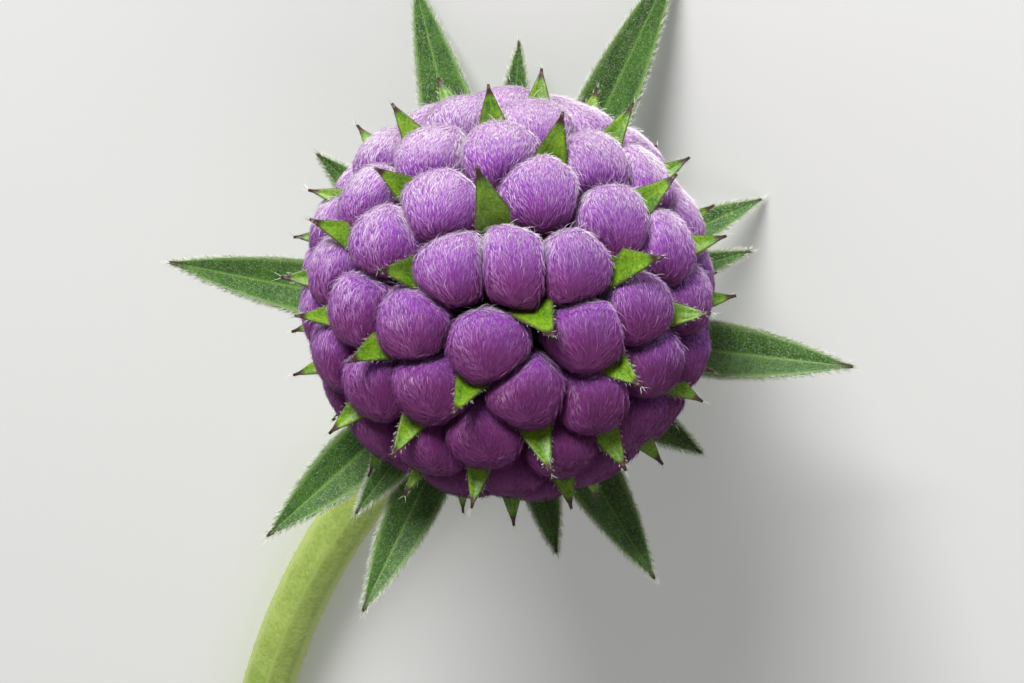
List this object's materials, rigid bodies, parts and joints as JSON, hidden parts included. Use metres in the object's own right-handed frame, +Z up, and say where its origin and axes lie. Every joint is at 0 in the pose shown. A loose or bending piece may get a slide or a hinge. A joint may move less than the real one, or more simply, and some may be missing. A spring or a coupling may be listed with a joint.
{
  "type": "devils-bit scabious",
  "caption": "Budding scabious flower head: a ball of hairy purple buds with green scales and a ruff of pointed bracts, on a short cut stem lying on a surface",
  "frame": {"origin": "under the middle of the whole object's box, on the surface that it lies on", "axes": "+Z up from the surface, +Y from the flower head along the lying stem to its cut end, +X to the right seen from the head's end with the stem going away"},
  "size_m": [0.0232, 0.0586, 0.0182],
  "materials": {
    "bud_purple": "closed petals with dense fine pale hairs, matt, paler where light falls on the hairs",
    "scale_green": "fresh green with dark purple-brown tips and white hairs along the edges",
    "bract_green": "green under fine white felt, pale midrib, white fringed edges and brown tips",
    "stem_green": "pale green, softly ribbed, with short white hairs"
  },
  "bodies": {
    "root": {"bud_01": "bud_purple", "bud_02": "bud_purple", "bud_03": "bud_purple", "bud_04": "bud_purple", "bud_05": "bud_purple", "bud_06": "bud_purple", "bud_07": "bud_purple", "bud_08": "bud_purple", "bud_09": "bud_purple", "bud_10": "bud_purple", "bud_11": "bud_purple", "bud_12": "bud_purple", "bud_13": "bud_purple", "bud_14": "bud_purple", "bud_15": "bud_purple", "bud_16": "bud_purple", "bud_17": "bud_purple", "bud_18": "bud_purple", "bud_19": "bud_purple", "bud_20": "bud_purple", "bud_21": "bud_purple", "bud_22": "bud_purple", "bud_23": "bud_purple", "bud_24": "bud_purple", "bud_25": "bud_purple", "bud_26": "bud_purple", "bud_27": "bud_purple", "bud_28": "bud_purple", "bud_29": "bud_purple", "bud_30": "bud_purple", "bud_31": "bud_purple", "bud_32": "bud_purple", "bud_33": "bud_purple", "bud_34": "bud_purple", "bud_35": "bud_purple", "bud_36": "bud_purple", "bud_37": "bud_purple", "bud_38": "bud_purple", "bud_39": "bud_purple", "bud_40": "bud_purple", "bud_41": "bud_purple", "receptacle": "scale_green", "outer_bract_1": "bract_green", "outer_bract_2": "bract_green", "outer_bract_3": "bract_green", "outer_bract_4": "bract_green", "outer_bract_5": "bract_green", "outer_bract_6": "bract_green", "middle_bract_1": "bract_green", "middle_bract_2": "bract_green", "middle_bract_3": "bract_green", "middle_bract_4": "bract_green", "middle_bract_5": "bract_green", "inner_bract_1": "bract_green", "inner_bract_2": "bract_green", "inner_bract_3": "bract_green", "stem": "stem_green"}
  },
  "joints": []
}
